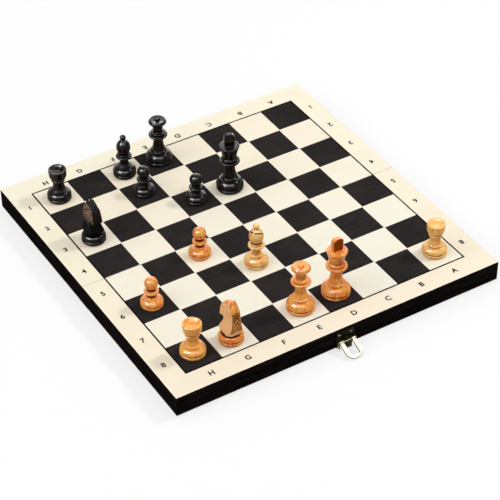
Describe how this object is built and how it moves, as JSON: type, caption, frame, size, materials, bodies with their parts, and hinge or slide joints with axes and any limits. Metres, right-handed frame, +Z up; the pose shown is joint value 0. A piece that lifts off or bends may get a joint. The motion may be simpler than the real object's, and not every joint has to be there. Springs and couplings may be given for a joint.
{
  "type": "folding chess and backgammon board",
  "caption": "Folding wooden games board, chess field outside and backgammon field inside its hinged trays, with a brass loop latch and turned chess men.",
  "frame": {"origin": "middle of the fold, on the plane of the tray rims that the open board lies on", "axes": "+X along the fold, +Y away from the latch, +Z up out of the chess field"},
  "size_m": [0.352, 0.3806, 0.088],
  "materials": {
    "pale_veneer": "satin varnish",
    "dark_inlay": "satin",
    "warm_inlay": "satin",
    "black_rail": "satin lacquer",
    "brass": "polished",
    "natural_wood": "lacquered",
    "black_lacquer": "gloss lacquer",
    "felt": "felt"
  },
  "bodies": {
    "near_half": {"near_panel": "pale_veneer", "near_dark_squares": "dark_inlay", "near_dark_points": "dark_inlay", "near_pale_points": "warm_inlay", "near_left_rail": "black_rail", "near_right_rail": "black_rail", "near_hinge_rail": "black_rail", "near_hinge_screws": "brass", "near_outer_rail": "black_rail", "left_hinge_pin": "brass", "left_hinge_near_leaf": "brass", "right_hinge_pin": "brass", "right_hinge_near_leaf": "brass", "latch_plate": "brass", "latch_screws": "brass", "latch_pin": "brass"},
    "far_half": {"far_panel": "pale_veneer", "far_dark_squares": "dark_inlay", "far_dark_points": "dark_inlay", "far_pale_points": "warm_inlay", "far_left_rail": "black_rail", "far_right_rail": "black_rail", "far_hinge_rail": "black_rail", "far_hinge_screws": "brass", "far_outer_rail": "black_rail", "left_hinge_far_leaf": "brass", "right_hinge_far_leaf": "brass", "catch_plate": "brass", "catch_screws": "brass"},
    "latch_loop": {"latch_loop": "brass"},
    "natural_rook_h8": {"natural_rook_h8": "natural_wood", "natural_rook_h8_felt": "felt"},
    "natural_knight_g8": {"natural_knight_g8": "natural_wood", "natural_knight_g8_felt": "felt"},
    "natural_queen_e8": {"natural_queen_e8": "natural_wood", "natural_queen_e8_felt": "felt"},
    "natural_king_d8": {"natural_king_d8": "natural_wood", "natural_king_d8_felt": "felt"},
    "natural_rook_a8": {"natural_rook_a8": "natural_wood", "natural_rook_a8_felt": "felt"},
    "natural_pawn_h6": {"natural_pawn_h6": "natural_wood", "natural_pawn_h6_felt": "felt"},
    "natural_bishop_e6": {"natural_bishop_e6": "natural_wood", "natural_bishop_e6_felt": "felt"},
    "natural_pawn_f5": {"natural_pawn_f5": "natural_wood", "natural_pawn_f5_felt": "felt"},
    "black_knight_h3": {"black_knight_h3": "black_lacquer", "black_knight_h3_felt": "felt"},
    "black_pawn_e3": {"black_pawn_e3": "black_lacquer", "black_pawn_e3_felt": "felt"},
    "black_king_d3": {"black_king_d3": "black_lacquer", "black_king_d3_felt": "felt"},
    "black_pawn_f2": {"black_pawn_f2": "black_lacquer", "black_pawn_f2_felt": "felt"},
    "black_rook_h1": {"black_rook_h1": "black_lacquer", "black_rook_h1_felt": "felt"},
    "black_bishop_f1": {"black_bishop_f1": "black_lacquer", "black_bishop_f1_felt": "felt"},
    "black_queen_e1": {"black_queen_e1": "black_lacquer", "black_queen_e1_felt": "felt"}
  },
  "joints": [
    {"name": "board_fold", "type": "hinge", "parent": "near_half", "child": "far_half", "pos_m": [0, 0, -0.0001], "axis": [-1, 0, 0], "range_deg": [0, 180]},
    {"name": "latch_swing", "type": "hinge", "parent": "near_half", "child": "latch_loop", "pos_m": [0.001, -0.1806, 0.0086], "axis": [1, 0, 0], "range_deg": [-100, 66]},
    {"name": "lift_natural_rook_h8", "type": "slide", "parent": "near_half", "child": "natural_rook_h8", "axis": [0, 0, 1], "range_m": [0, 0.12]},
    {"name": "lift_natural_knight_g8", "type": "slide", "parent": "near_half", "child": "natural_knight_g8", "axis": [0, 0, 1], "range_m": [0, 0.12]},
    {"name": "lift_natural_queen_e8", "type": "slide", "parent": "near_half", "child": "natural_queen_e8", "axis": [0, 0, 1], "range_m": [0, 0.12]},
    {"name": "lift_natural_king_d8", "type": "slide", "parent": "near_half", "child": "natural_king_d8", "axis": [0, 0, 1], "range_m": [0, 0.12]},
    {"name": "lift_natural_rook_a8", "type": "slide", "parent": "near_half", "child": "natural_rook_a8", "axis": [0, 0, 1], "range_m": [0, 0.12]},
    {"name": "lift_natural_pawn_h6", "type": "slide", "parent": "near_half", "child": "natural_pawn_h6", "axis": [0, 0, 1], "range_m": [0, 0.12]},
    {"name": "lift_natural_bishop_e6", "type": "slide", "parent": "near_half", "child": "natural_bishop_e6", "axis": [0, 0, 1], "range_m": [0, 0.12]},
    {"name": "lift_natural_pawn_f5", "type": "slide", "parent": "near_half", "child": "natural_pawn_f5", "axis": [0, 0, 1], "range_m": [0, 0.12]},
    {"name": "lift_black_knight_h3", "type": "slide", "parent": "far_half", "child": "black_knight_h3", "axis": [0, 0, 1], "range_m": [0, 0.12]},
    {"name": "lift_black_pawn_e3", "type": "slide", "parent": "far_half", "child": "black_pawn_e3", "axis": [0, 0, 1], "range_m": [0, 0.12]},
    {"name": "lift_black_king_d3", "type": "slide", "parent": "far_half", "child": "black_king_d3", "axis": [0, 0, 1], "range_m": [0, 0.12]},
    {"name": "lift_black_pawn_f2", "type": "slide", "parent": "far_half", "child": "black_pawn_f2", "axis": [0, 0, 1], "range_m": [0, 0.12]},
    {"name": "lift_black_rook_h1", "type": "slide", "parent": "far_half", "child": "black_rook_h1", "axis": [0, 0, 1], "range_m": [0, 0.12]},
    {"name": "lift_black_bishop_f1", "type": "slide", "parent": "far_half", "child": "black_bishop_f1", "axis": [0, 0, 1], "range_m": [0, 0.12]},
    {"name": "lift_black_queen_e1", "type": "slide", "parent": "far_half", "child": "black_queen_e1", "axis": [0, 0, 1], "range_m": [0, 0.12]}
  ]
}
